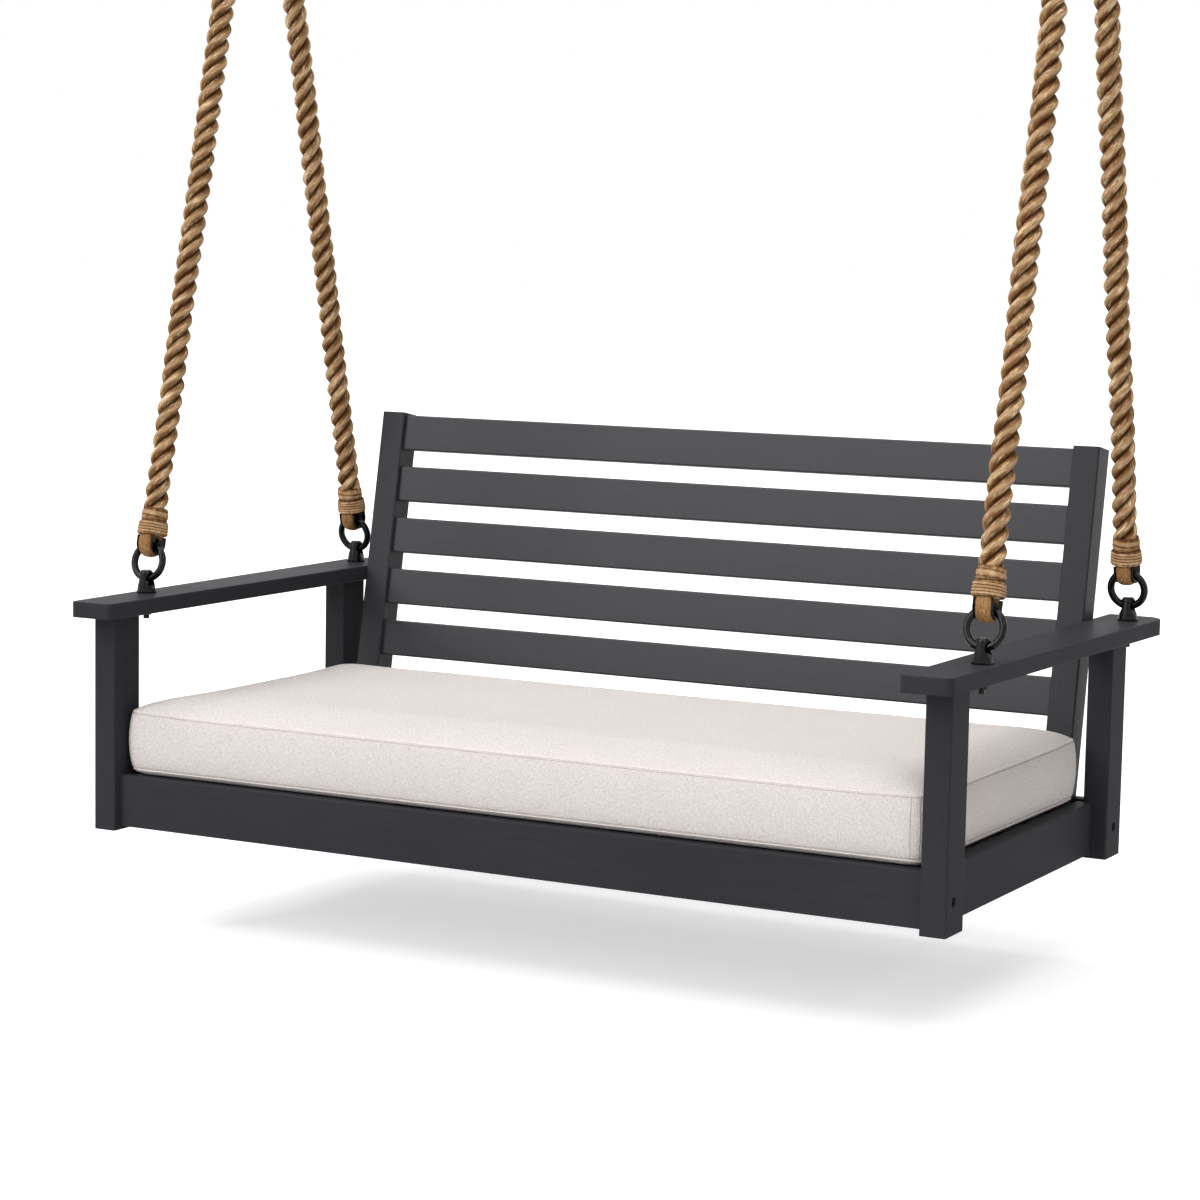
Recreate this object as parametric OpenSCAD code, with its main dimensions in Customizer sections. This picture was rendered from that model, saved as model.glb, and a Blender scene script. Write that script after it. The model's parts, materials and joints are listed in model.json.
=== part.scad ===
// Hanging porch bench with a box cushion, held by four ropes from two ceiling brackets.
// X runs along the bench, Y runs from the front to the back and Z is up.
// Every piece is drawn from the front posts' front faces and the posts' feet,
// then moved so that the origin lies between the ceiling brackets' upper faces.

/* [Frame] */
// Length over the posts
frame_w = 1500; // [1300:10:1700]
// Depth over the posts
frame_d = 750; // [700:10:800]
// Width of a post along the bench
post_w = 41; // [38:1:46]
// Depth of a post
post_d = 68; // [60:1:76]
// Height of a post
post_h = 353; // [330:1:380]
// Height of the four rails
rail_h = 85; // [75:1:100]
// Thickness of the four rails
rail_t = 28; // [24:1:30]
// Setback of the front rail behind the front posts
rail_set = 14; // [8:1:18]

/* [Armrests] */
// Thickness of an armrest
arm_t = 26; // [22:1:30]
// Overhang of an armrest in front of the posts
arm_front = 45; // [30:1:60]
// Overhang of an armrest behind the posts
arm_rear = 96; // [90:1:110]
// Overhang outside the posts at the front end
arm_out = 16; // [12:1:24]
// Extra overhang outside the posts at the rear end
arm_flare = 18; // [8:1:24]

/* [Back] */
// Recline of the back from upright, in degrees
recline = 10.2; // [8:0.2:12]
// Width of a stile
stile_w = 46; // [40:1:50]
// Depth of a stile
stile_d = 50; // [44:1:54]
// Length of a stile along its slope
stile_l = 669; // [650:1:700]
// Height of a back slat
back_slat_h = 63.5; // [56:0.5:66]
// Thickness of a back slat
back_slat_t = 20; // [18:1:24]
// Gap between two back slats
back_gap = 30; // [26:0.5:32]

/* [Seat] */
// Width of a seat slat
seat_slat_w = 78; // [70:1:84]
// Thickness of a seat slat
seat_slat_t = 18; // [16:1:20]

/* [Cushion] */
// Gap between each end of the cushion and the posts beside it
cushion_side_gap = 9; // [5:1:20]
// Overhang of the cushion over the front rail
cushion_over = 16; // [0:1:24]
// Gap between the cushion and the back, at seat level
cushion_rear_gap = 5; // [3:1:20]
// Height of the cushion's sides, from seam to seam
cushion_h = 104; // [80:1:115]
// Rise of the cushion's crown above the upper seam
cushion_crown = 19; // [8:1:24]

/* [Hanging] */
// Height of the ceiling above the posts' feet
hang_h = 1850; // [1600:10:2400]
// Distance of the front lugs behind the front posts' faces
lug_front = 130; // [110:1:150]
// Distance of the rear lugs behind the rear posts' faces
lug_rear = 22; // [20:1:30]
// Distance of the hanging point behind the front posts' faces
hang_y = 451; // [420:1:480]
// Diameter of a rope
rope_dia = 40; // [36:1:42]
// Outer diameter of a ring
ring_dia = 68; // [67:1:72]
// Thickness of a ring's wire
ring_wire = 11.8; // [11:0.2:12]

/* [Hidden] */
paint = "#3a3a3d";
hidden_wood = "#46433f";
iron = "#1c1c1e";
zinc = "#9a9ca0";
hemp = "#b08a5e";
linen = "#e4dfda";
half_w = frame_w / 2;
edge = 3;
foot_up = 6;
side_in = 26;
rail_top = foot_up + rail_h;
rail_mid = foot_up + rail_h / 2;
rail_x = half_w - side_in - rail_t / 2;
arm_z = post_h;
arm_top = post_h + arm_t;
arm_lap = 65;
arm_in = half_w - arm_lap;
stile_in_x = arm_in - stile_w;
back_in = 98.5;
stile_foot_y = frame_d - back_in;
stile_foot = foot_up + 6;
rear_rail_y = stile_foot_y + stile_d * cos(recline) + 2.5;
slat_set = 8;
slat_mid_y = slat_set + back_slat_t / 2;
slat_drop = 4;
back_count = 5;
back_pitch = back_slat_h + back_gap;
back_first = stile_l - slat_drop - back_slat_h - (back_count - 1) * back_pitch;
seat_z = rail_top - seat_slat_t;
seat_front = rail_set + rail_t;
seat_rear = stile_foot_y + rail_top * tan(recline) - 6;
seat_count = 6;
slat_start = seat_front + 8;
seat_pitch = (seat_rear - 4 - slat_start - seat_slat_w) / (seat_count - 1);
slat_reach = rail_x - rail_t / 2 - 1;
bearer_x = rail_x / 3;
bearer_t = 30;
cleat_t = 20;
cleat_h = 26;
cleat_x = rail_x - rail_t / 2 - cleat_t;
cleat_front = post_d + 6;
dowel_r = 5;
dowel_gap = 0.05;
dowel_l = 46;
dowel_pitch = 44;
dowel_in = 18;
post_dowel_z = [rail_mid - dowel_pitch / 2, rail_mid + dowel_pitch / 2];
arm_dowel_l = 42;
arm_dowel_sink = 14;
arm_dowel_y = [dowel_in, post_d - dowel_in, frame_d - post_d + dowel_in, frame_d - dowel_in];
slat_dowel_z = [dowel_in, back_slat_h - dowel_in];
bolt_r = 3.9;
bolt_hole_r = 4.2;
bolt_head_r = 7.4;
bolt_head_sink = 6;
bolt_l = 79;
barrel_r = 5;
barrel_l = 14;
barrel_in = 36;
front_bolt_y = rail_set + rail_t / 2;
rear_bolt_y = rear_rail_y + rail_t / 2;
lag_r = 3;
lag_hole_r = 3.05;
lag_l = 52;
lag_z = [rail_mid - 18, rail_mid + 20];
lag_x = stile_in_x + stile_w / 2;
arm_bolt_l = 72;
arm_bolt_y = stile_foot_y + (arm_z + arm_t / 2) * tan(recline) + stile_d / 2;
arm_bolt_z = arm_z + arm_t / 2;
screw_r = 2.2;
screw_head_r = 4.2;
screw_head_t = 2.5;
slat_screw_l = 34;
cleat_screw_l = 38;
slat_screw_x = [-cleat_x - cleat_t / 2, -bearer_x, bearer_x, cleat_x + cleat_t / 2];
cleat_screw_y = [post_d + 60, frame_d / 2 - 20, seat_rear - 90];
corner_r = 26;
corner_steps = 5;
cushion_sides = 56;
cushion_front = seat_front - cushion_over;
cushion_w = frame_w - 2 * (post_w + cushion_side_gap);
cushion_d = stile_foot_y + rail_top * tan(recline) - cushion_rear_gap - cushion_front;
cushion_low = rail_top + 0.3;
cushion_seam = cushion_low + cushion_h;
lug_x = half_w - 8;
lug_h = 38;
lug_r = 16.5;
lug_eye = 24;
lug_y = [lug_front, frame_d + lug_rear];
eye_z = arm_top + lug_eye;
wire_r = ring_wire / 2;
ring_r = ring_dia / 2 - wire_r;
eye_r = wire_r + 1.7;
eye_low = 1.4;
eye_flare = 9;
stem_r = 5;
stem_l = arm_t + 17;
nut_h = 8.5;
nut_r = 9.2;
washer_t = 2;
washer_r = 12;
plate_t = 8;
plate_w = 46;
plate_l = 110;
plate_hole_r = 5.5;
plate_hole_y = 38;
ear_in = 9;
ear_t = 7;
ear_r = 14;
pin_drop = 50;
pin_r = 6;
pin_head_r = 11;
hub_l = 16;
hub_r = 12;
link_drop = 64;
link_half = 66;
bar_r = 5;
pin_z = hang_h - pin_drop;
bar_z = pin_z - link_drop;
rope_r = rope_dia / 2;
rope_spread = 26;
rope_y = [hang_y - rope_spread, hang_y + rope_spread];
rope_rise = bar_z - eye_z;
rope_start = 24;
rope_rings = 14;
rope_sides = 12;
thimble_r = 8.5;
thimble_t = 2.5;
loop_half = 6;
loop_wide = 12;
loop_r = thimble_r + thimble_t + loop_half;
loop_u = 2 * ring_r - wire_r + thimble_r - 0.05;
loop_top = thimble_r - bar_r - 0.7;
whip_low = 14;
whip_turns = 4;
whip_turn = 11;
whip_rise = 4.8;
// Section of a thimble: the distance from the loop's axis, then the place across the groove
thimble_section = [
    [thimble_r + 2.3, -9], [thimble_r + 0.8, -5], [thimble_r, 0], [thimble_r + 0.8, 5], [thimble_r + 2.3, 9],
    [thimble_r + 10, 16.5], [thimble_r + 11, 14.5], [thimble_r + 4, 10.2], [thimble_r + thimble_t, 7],
    [thimble_r + thimble_t, -7], [thimble_r + 4, -10.2], [thimble_r + 11, -14.5], [thimble_r + 10, -16.5]
];
// Middle line of a rope's end loop round its thimble, in the plane of Y and Z
loop_points = concat(
    [[8, rope_start + 2], [12, 17], [16, 8]],
    [for (i = [0 : 8]) [loop_r * cos(180 * i / 8), -loop_r * sin(180 * i / 8)]],
    [[-16, 8], [-12, 17], [-8, rope_start + 2]]
);

// Corner points of a rectangle a by b with rounded corners, from its lower left corner
function rounded(a, b, r, steps = 3) = [
    for (c = [[a - r, b - r, 0], [r, b - r, 90], [r, r, 180], [a - r, r, 270]])
        for (i = [0 : steps])
            [c[0] + r * cos(c[2] + 90 * i / steps), c[1] + r * sin(c[2] + 90 * i / steps)]
];

// Faces of a closed tube of rings, numbered ring by ring
function tube_faces(rings, sides) = concat(
    [[for (i = [0 : sides - 1]) i]],
    [for (k = [0 : rings - 2], i = [0 : sides - 1])
        [k * sides + i, (k + 1) * sides + i, (k + 1) * sides + (i + 1) % sides, k * sides + (i + 1) % sides]],
    [[for (i = [sides - 1 : -1 : 0]) (rings - 1) * sides + i]]
);

// Moves a piece from the bench's own corner to the part's origin
module placed() {
    translate([0, -hang_y, -hang_h]) children();
}

// Repeats a piece at the left and right ends, mirrored
module both_ends() {
    children();
    mirror([1, 0, 0]) children();
}

// side is -1 for the left end and 1 for the right end
module at_end(side) {
    if (side < 0) mirror([1, 0, 0]) children();
    else children();
}

// Bar with rounded long edges, along X from the origin: depth along Y, height along Z
module bar_x(length, depth, height) {
    rotate([90, 0, 90]) linear_extrude(length) polygon(rounded(depth, height, edge));
}

// Bar along Y from the origin
module bar_y(length, width, height) {
    translate([0, length, 0]) rotate([90, 0, 0]) linear_extrude(length) polygon(rounded(width, height, edge));
}

// Bar along Z from the origin: width along X, depth along Y
module post_bar(length, width, depth) {
    linear_extrude(length) polygon(rounded(width, depth, edge));
}

// Countersunk wood screw that points down, with its head's top at the origin
module wood_screw(length) {
    translate([0, 0, -length]) cylinder(h = length, r = screw_r, $fn = 12);
    translate([0, 0, -screw_head_t]) cylinder(h = screw_head_t, r = screw_head_r, $fn = 12);
}

// Hole along Y for half of a side rail's dowel, from y towards the front or the back
module dowel_hole_y(y, way) {
    depth = dowel_l / 2 + 1;
    for (z = post_dowel_z)
        translate([rail_x + rail_t / 2 - 8, way > 0 ? y : y - depth, z])
            rotate([-90, 0, 0]) cylinder(h = depth, r = dowel_r + dowel_gap);
}

// Post at the right end from y; the rail bolt runs through it along X, and way points to the side rail
module post(y, bolt_y, way) {
    depth = arm_dowel_l - arm_dowel_sink + 1;
    color(paint)
    difference() {
        translate([half_w - post_w, y, 0]) post_bar(post_h, post_w, post_d);
        translate([half_w - post_w - 1, bolt_y, rail_mid]) rotate([0, 90, 0])
            cylinder(h = post_w + 2, r = bolt_hole_r);
        translate([half_w - bolt_head_sink, bolt_y, rail_mid]) rotate([0, 90, 0])
            cylinder(h = bolt_head_sink + 1, r = bolt_head_r + 0.6);
        for (dy = [dowel_in, post_d - dowel_in])
            translate([half_w - post_w / 2, y + dy, post_h - depth])
                cylinder(h = depth + 1, r = dowel_r + dowel_gap);
        dowel_hole_y(way > 0 ? y + post_d : y, -way);
    }
}

module front_post(side) {
    placed() at_end(side) post(0, front_bolt_y, 1);
}

module rear_post(side) {
    placed() at_end(side) post(frame_d - post_d, rear_bolt_y, -1);
}

// Cross rail between two posts, with its bolt holes and barrel nut holes
module cross_rail(y) {
    length = frame_w - 2 * post_w;
    depth = bolt_l - post_w + bolt_head_sink + 6;
    color(paint)
    difference() {
        translate([-length / 2, y, foot_up]) bar_x(length, rail_t, rail_h);
        both_ends() {
            translate([length / 2 - depth, y + rail_t / 2, rail_mid]) rotate([0, 90, 0])
                cylinder(h = depth + 1, r = bolt_hole_r);
            translate([length / 2 - barrel_in, y + rail_t / 2, foot_up - 1])
                cylinder(h = rail_h / 2 + barrel_l / 2 + 1, r = barrel_r + dowel_gap);
        }
    }
}

module front_rail() {
    placed() cross_rail(rail_set);
}

module rear_rail() {
    placed() color(paint)
    difference() {
        cross_rail(rear_rail_y);
        both_ends() stile_screw_holes();
    }
}

// Holes of the lag screws that hold a stile to the rear rail
module stile_screw_holes() {
    depth = lag_l - rail_t + 2;
    for (z = lag_z)
        translate([lag_x, rear_rail_y - depth, z]) rotate([-90, 0, 0])
            cylinder(h = depth + rail_t + 1, r = lag_hole_r);
}

// Side rail between the front and rear posts, set in from their outer faces
module side_rail(side) {
    placed() at_end(side) color(paint)
    difference() {
        translate([rail_x - rail_t / 2, post_d, foot_up]) bar_y(frame_d - 2 * post_d, rail_t, rail_h);
        dowel_hole_y(post_d, 1);
        dowel_hole_y(frame_d - post_d, -1);
        cleat_screw_holes();
    }
}

// Holes of the screws that hold a cleat to its side rail
module cleat_screw_holes() {
    for (y = cleat_screw_y)
        translate([cleat_x, y, seat_z - cleat_h / 2]) rotate([0, -90, 0]) {
            translate([0, 0, -cleat_screw_l]) cylinder(h = cleat_screw_l, r = screw_r, $fn = 12);
            translate([0, 0, -screw_head_t]) cylinder(h = screw_head_t + 1, r = screw_head_r, $fn = 12);
        }
}

// Arc of steps points round [x, y] from angle a through 90 degrees, clockwise
function quarter(x, y, r, a, steps) = [
    for (i = [0 : steps]) [x + r * cos(a - 90 * i / steps), y + r * sin(a - 90 * i / steps)]
];

// Outline of the right armrest, clockwise from its inner rear corner; the outer edge flares to the rear
function arm_outline(front, rear, out_front, out_rear) = concat(
    quarter(arm_in + 12, rear - 12, 12, 180, 4),
    quarter(out_rear - 40, rear - 40, 40, 90, 8),
    quarter(out_front - 14, front + 14, 14, 0, 4),
    quarter(arm_in + 10, front + 10, 10, 270, 4)
);

module armrest(side) {
    span = arm_front + frame_d + arm_rear;
    width = arm_lap + arm_out + arm_flare;
    placed() at_end(side) color(paint)
    difference() {
        translate([0, 0, arm_z])
        intersection() {
            linear_extrude(arm_t)
                polygon(arm_outline(-arm_front, frame_d + arm_rear, half_w + arm_out, half_w + arm_out + arm_flare));
            translate([arm_in, -arm_front, 0]) bar_x(width, span, arm_t);
            translate([arm_in, -arm_front, 0]) rotate([0, 0, -atan(arm_flare / span)])
                translate([-width, -width, 0]) bar_y(span + 2 * width, 2 * width - arm_flare, arm_t);
            translate([arm_in, -arm_front - 1, 0]) bar_y(span + 2, 2 * width, arm_t);
        }
        for (y = lug_y)
            translate([lug_x, y, arm_z - 1]) cylinder(h = arm_t + 2, r = stem_r + 0.3);
        for (y = arm_dowel_y)
            translate([half_w - post_w / 2, y, arm_z - 1]) cylinder(h = arm_dowel_sink + 2, r = dowel_r + dowel_gap);
        arm_bolt_hole();
    }
}

// Hole of the bolt that joins an armrest to its stile
module arm_bolt_hole() {
    translate([stile_in_x - 1, arm_bolt_y, arm_bolt_z]) rotate([0, 90, 0]) {
        cylinder(h = arm_bolt_l + 10, r = lag_hole_r);
        cylinder(h = 7, r = bolt_head_r - 0.4);
    }
}

// Moves a piece onto the back's slope: X across, Y into the back, Z up along the slope
module on_slope() {
    translate([0, stile_foot_y, 0]) rotate([-recline, 0, 0]) children();
}

// Stile of the back, notched over the rear rail
module stile(side) {
    placed() at_end(side) color(paint)
    difference() {
        on_slope() translate([stile_in_x, 0, stile_foot]) post_bar(stile_l - stile_foot, stile_w, stile_d);
        translate([0, rear_rail_y, foot_up]) cube([half_w, rail_t, rail_h]);
        stile_screw_holes();
        for (k = [0 : back_count - 1]) back_dowel_holes(back_first + k * back_pitch);
        arm_bolt_hole();
    }
}

// Holes of the two dowels between the stile and the slat whose lower edge is at z
module back_dowel_holes(z) {
    for (dz = slat_dowel_z)
        on_slope() translate([stile_in_x - dowel_l / 2 - 2, slat_mid_y, z + dz]) rotate([0, 90, 0])
            cylinder(h = dowel_l + 4, r = dowel_r + dowel_gap);
}

// Back slat number k, where 1 is the highest
module back_slat(k) {
    z = back_first + (back_count - k) * back_pitch;
    placed() color(paint)
    difference() {
        on_slope() translate([-stile_in_x, slat_set, z]) bar_x(2 * stile_in_x, back_slat_t, back_slat_h);
        both_ends() back_dowel_holes(z);
    }
}

// Middle of seat slat k, front to back
function slat_mid(k) = slat_start + (k - 1) * seat_pitch + seat_slat_w / 2;

// Seat slat number k, where 1 is at the front
module seat_slat(k) {
    placed() color(paint)
    difference() {
        translate([-slat_reach, slat_mid(k) - seat_slat_w / 2, seat_z])
            bar_x(2 * slat_reach, seat_slat_w, seat_slat_t);
        for (x = slat_screw_x) translate([x, slat_mid(k), rail_top]) {
            translate([0, 0, -seat_slat_t - 1]) cylinder(h = seat_slat_t + 2, r = screw_r, $fn = 12);
            translate([0, 0, -screw_head_t]) cylinder(h = screw_head_t + 1, r = screw_head_r, $fn = 12);
        }
    }
}

// Bearer under the seat slats, from the front rail to the rear rail
module seat_bearer(side) {
    placed() at_end(side) color(paint)
    difference() {
        translate([bearer_x - bearer_t / 2, seat_front, foot_up])
            bar_y(rear_rail_y - seat_front, bearer_t, seat_z - foot_up);
        seat_screw_holes();
    }
}

// Cleat on the inner face of a side rail, under the slats' ends
module seat_cleat(side) {
    placed() at_end(side) color(paint)
    difference() {
        translate([cleat_x, cleat_front, seat_z - cleat_h]) bar_y(stile_foot_y - cleat_front, cleat_t, cleat_h);
        seat_screw_holes();
        cleat_screw_holes();
    }
}

// Holes of the seat slats' screws in the pieces under them
module seat_screw_holes() {
    depth = slat_screw_l - seat_slat_t + 1;
    for (x = slat_screw_x, k = [1 : seat_count])
        translate([x, slat_mid(k), seat_z - depth]) cylinder(h = depth + 1, r = screw_r, $fn = 12);
}

// Offset of one coordinate that puffs out towards the middle of a side
function puffed(a, b, half_a, half_b, bulge) = a + bulge * a / half_a * (1 - pow(b / half_b, 2));

// Outline of the cushion at height z and scale s: four corner arcs, and sides that puff out by bulge
function cushion_ring(s, bulge, z) = let (
    half = [cushion_w / 2 - 5, cushion_d / 2 - 5],
    straight = cushion_sides / 4 - corner_steps
) [
    for (c = [0 : 3], i = [0 : cushion_sides / 4 - 1])
        let (
            sx = c == 0 || c == 3 ? 1 : -1,
            sy = c < 2 ? 1 : -1,
            arc = 90 * (c + min(i, corner_steps) / corner_steps),
            far = 2 * max(i - corner_steps, 0) / straight,
            x = sx * (half[0] - corner_r) * (c % 2 == 0 ? 1 - far : 1) + corner_r * cos(arc),
            y = sy * (half[1] - corner_r) * (c % 2 == 1 ? 1 - far : 1) + corner_r * sin(arc)
        )
        [s * puffed(x, y, half[0], half[1], bulge), s * puffed(y, x, half[1], half[0], bulge), z]
];

// Rings of the cushion from the underside over the puffed sides to the crown
function cushion_rings() = concat(
    [
        cushion_ring(0.3, 1, cushion_low),
        cushion_ring(0.975, 1, cushion_low),
        cushion_ring(0.993, 1, cushion_low + 2.5)
    ],
    [for (i = [0 : 6]) let (t = i / 6) cushion_ring(1, 1 + 5 * sin(180 * t), cushion_low + 6 + (cushion_h - 6) * t)],
    [for (i = [1 : 9]) let (s = 1 - pow(i / 9.6, 1.6))
        cushion_ring(s, 1, cushion_seam + cushion_crown * pow(1 - pow(s, 5), 0.7))]
);

module cushion() {
    rings = cushion_rings();
    placed() color(linen) translate([0, cushion_front + cushion_d / 2, 0])
        polyhedron([for (ring = rings) each ring], tube_faces(len(rings), cushion_sides), convexity = 4);
}

// Tapered lug on an armrest with a flared eye along X and a threaded stem below
module lug(side, k) {
    placed() at_end(side) color(iron)
    translate([lug_x, lug_y[k], arm_top])
    difference() {
        union() {
            cylinder(h = 3, r = lug_r);
            translate([0, 0, 3]) cylinder(h = lug_h - 7, r1 = lug_r - 1, r2 = lug_r - 5.6);
            translate([0, 0, lug_h - 4]) cylinder(h = 4, r1 = lug_r - 5.6, r2 = lug_r - 8.5);
            translate([0, 0, -stem_l]) cylinder(h = stem_l, r = stem_r);
        }
        translate([-lug_r - 1, 0, lug_eye - eye_low]) rotate([0, 90, 0]) cylinder(h = 2 * lug_r + 2, r = eye_r);
        both_ends() translate([1, 0, lug_eye - eye_low]) rotate([0, 90, 0])
            cylinder(h = lug_r + 1.5, r1 = eye_r, r2 = eye_r + eye_flare);
    }
}

// Places a piece under each of the four lugs
module at_lug_feet() {
    placed() both_ends() for (y = lug_y) translate([lug_x, y, arm_z]) children();
}

module lug_washers() {
    color(zinc) at_lug_feet() translate([0, 0, -washer_t]) difference() {
        cylinder(h = washer_t, r = washer_r);
        translate([0, 0, -1]) cylinder(h = washer_t + 2, r = stem_r + 0.4);
    }
}

module lug_nuts() {
    color(zinc) at_lug_feet() translate([0, 0, -washer_t - nut_h]) difference() {
        cylinder(h = nut_h, r = nut_r, $fn = 6);
        translate([0, 0, -1]) cylinder(h = nut_h + 2, r = stem_r);
    }
}

// Round-headed bolts through the posts into the cross rails
module rail_bolts() {
    color(iron) placed() both_ends() for (y = [front_bolt_y, rear_bolt_y])
        translate([half_w - bolt_head_sink, y, rail_mid]) rotate([0, 90, 0]) {
            cylinder(h = 3, r1 = bolt_head_r, r2 = bolt_head_r - 2.4);
            translate([0, 0, -bolt_l]) cylinder(h = bolt_l, r = bolt_r);
        }
}

// Cylindrical nuts that the rail bolts screw into
module rail_barrel_nuts() {
    color(zinc) placed() both_ends() for (y = [front_bolt_y, rear_bolt_y])
        translate([half_w - post_w - barrel_in, y, rail_mid - barrel_l / 2]) difference() {
            cylinder(h = barrel_l, r = barrel_r);
            translate([-barrel_r - 1, 0, barrel_l / 2]) rotate([0, 90, 0]) cylinder(h = 2 * barrel_r + 2, r = bolt_r);
        }
}

// Dowels between the side rails' ends and the posts
module side_rail_dowels() {
    color(hidden_wood) placed() both_ends() for (y = [post_d, frame_d - post_d], z = post_dowel_z)
        translate([rail_x + rail_t / 2 - 8, y, z]) rotate([90, 0, 0])
            cylinder(h = dowel_l, r = dowel_r, center = true, $fn = 12);
}

// Dowels between the posts' upper ends and the armrests
module arm_dowels() {
    color(hidden_wood) placed() both_ends() for (y = arm_dowel_y)
        translate([half_w - post_w / 2, y, arm_z + arm_dowel_sink - arm_dowel_l])
            cylinder(h = arm_dowel_l, r = dowel_r, $fn = 12);
}

// Dowels between the back slats' ends and the stiles
module back_slat_dowels() {
    color(hidden_wood) placed() both_ends() for (k = [0 : back_count - 1], dz = slat_dowel_z)
        on_slope() translate([stile_in_x, slat_mid_y, back_first + k * back_pitch + dz]) rotate([0, 90, 0])
            cylinder(h = dowel_l, r = dowel_r, center = true, $fn = 12);
}

// Lag screws from behind through the rear rail into the stiles
module stile_screws() {
    color(iron) placed() both_ends() for (z = lag_z)
        translate([lag_x, rear_rail_y + rail_t, z]) rotate([90, 0, 0]) {
            translate([0, 0, -5]) cylinder(h = 5, r = 2 * lag_r + 0.5, $fn = 6);
            cylinder(h = lag_l, r = lag_r, $fn = 12);
        }
}

// Bolts through the stiles into the armrests' inner edges
module arm_bolts() {
    color(iron) placed() both_ends() translate([stile_in_x + 6, arm_bolt_y, arm_bolt_z]) rotate([0, 90, 0]) {
        translate([0, 0, -4]) cylinder(h = 4, r1 = bolt_head_r - 3, r2 = bolt_head_r - 1);
        cylinder(h = arm_bolt_l, r = lag_r);
    }
}

module seat_slat_screws() {
    color(zinc) placed() for (x = slat_screw_x, k = [1 : seat_count])
        translate([x, slat_mid(k), rail_top]) wood_screw(slat_screw_l);
}

// Screws from the cleats into the side rails
module cleat_screws() {
    color(zinc) placed() both_ends() for (y = cleat_screw_y)
        translate([cleat_x, y, seat_z - cleat_h / 2]) rotate([0, -90, 0]) wood_screw(cleat_screw_l);
}

// Moves a piece onto a rope's own line: Z from the lug's eye up to the link's bar, X across
module on_rope(side, k) {
    placed() translate([side * lug_x, lug_y[k], eye_z])
        rotate([atan((lug_y[k] - rope_y[k]) / rope_rise), 0, 0]) children();
}

// Distance from a lug's eye to the link's bar along rope k
function rope_span(k) = norm([lug_y[k] - rope_y[k], rope_rise]);

// Puts a rope's lower and upper ends at their loops' axes
module at_rope_ends(side, k) {
    on_rope(side, k) {
        translate([0, 0, loop_u]) children();
        translate([0, 0, rope_span(k) - loop_top]) rotate([180, 0, 90]) children();
    }
}

module rings(side) {
    color(iron) for (k = [0, 1]) on_rope(side, k) translate([0, 0, ring_r]) rotate([90, 0, 0])
        rotate_extrude() translate([ring_r, 0]) circle(r = wire_r);
}

// Thimble with its loop's axis along X, open upwards
module thimble() {
    rotate([0, 90, 0]) {
        rotate([0, 0, -90]) rotate_extrude(angle = 180) polygon(thimble_section);
        for (m = [0, 1]) mirror([0, m, 0]) rotate([0, -90, 0])
            linear_extrude(12) polygon([for (p = thimble_section) [p[1], p[0]]]);
    }
}

module thimbles(side) {
    color(iron) for (k = [0, 1]) at_rope_ends(side, k) thimble();
}

// Seizing of a rope's splice: flat turns of twine, wider towards the loop
module whipping() {
    rotate_extrude() polygon(concat(
        [[rope_r, whip_low + whip_turns * whip_turn], [rope_r, rope_start + 4], [rope_r + 3, whip_low]],
        [for (i = [0 : whip_turns - 1]) let (r = rope_r + whip_rise - 0.9 * i, z = whip_low + i * whip_turn)
            each [[r, z], [r + 1.2, z + whip_turn / 2], [r - 0.6, z + whip_turn]]]
    ));
}

module whippings(side) {
    color(hemp) for (k = [0, 1]) at_rope_ends(side, k) whipping();
}

// Tube along points in the plane of Y and Z, with an oval section: a to each side along X, b in the plane
function flat_tube(points, a, b, sides) = [
    for (k = [0 : len(points) - 1])
        let (
            before = points[max(k - 1, 0)],
            after = points[min(k + 1, len(points) - 1)],
            along = (after - before) / norm(after - before)
        )
        for (i = [0 : sides - 1]) let (t = 360 * i / sides)
            [a * cos(t), points[k][0] - b * sin(t) * along[1], points[k][1] + b * sin(t) * along[0]]
];

// Rope: a plain tube between its two splices, and a flattened loop at each end
module rope(side, k) {
    low = loop_u + rope_start;
    high = rope_span(k) - loop_top - rope_start;
    route = [for (i = [0 : rope_rings - 1]) [0, low + (high - low) * i / (rope_rings - 1)]];
    color(hemp) {
        on_rope(side, k)
            polyhedron(
                flat_tube(route, rope_r, rope_r, rope_sides), tube_faces(rope_rings, rope_sides), convexity = 4
            );
        at_rope_ends(side, k)
            polyhedron(
                flat_tube(loop_points, loop_wide, loop_half, 8), tube_faces(len(loop_points), 8), convexity = 6
            );
    }
}

// Ceiling bracket: a plate with two screw holes and two ears for the hanger's pin
module ceiling_bracket(side) {
    color(iron) placed() translate([side * lug_x, hang_y, hang_h])
    difference() {
        union() {
            translate([-plate_w / 2, -plate_l / 2, -plate_t]) post_bar(plate_t, plate_w, plate_l);
            both_ends() translate([ear_in, -ear_r, -pin_drop]) cube([ear_t, 2 * ear_r, pin_drop - plate_t]);
            both_ends() translate([ear_in, 0, -pin_drop]) rotate([0, 90, 0]) cylinder(h = ear_t, r = ear_r);
        }
        for (y = [-plate_hole_y, plate_hole_y])
            translate([0, y, -plate_t - 1]) cylinder(h = plate_t + 2, r = plate_hole_r);
        translate([-plate_w / 2, 0, -pin_drop]) rotate([0, 90, 0]) cylinder(h = plate_w, r = pin_r);
    }
}

// Headed pin through the ears, closed by a nut
module hanger_pin(side) {
    reach = ear_in + ear_t;
    color(zinc) placed() translate([side * lug_x, hang_y, pin_z]) rotate([0, 90, 0]) {
        translate([0, 0, -reach]) cylinder(h = 2 * reach + 6, r = pin_r);
        translate([0, 0, -reach - 8]) cylinder(h = 8, r = pin_head_r, $fn = 6);
        translate([0, 0, reach]) cylinder(h = 9, r = pin_head_r, $fn = 6);
    }
}

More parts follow.
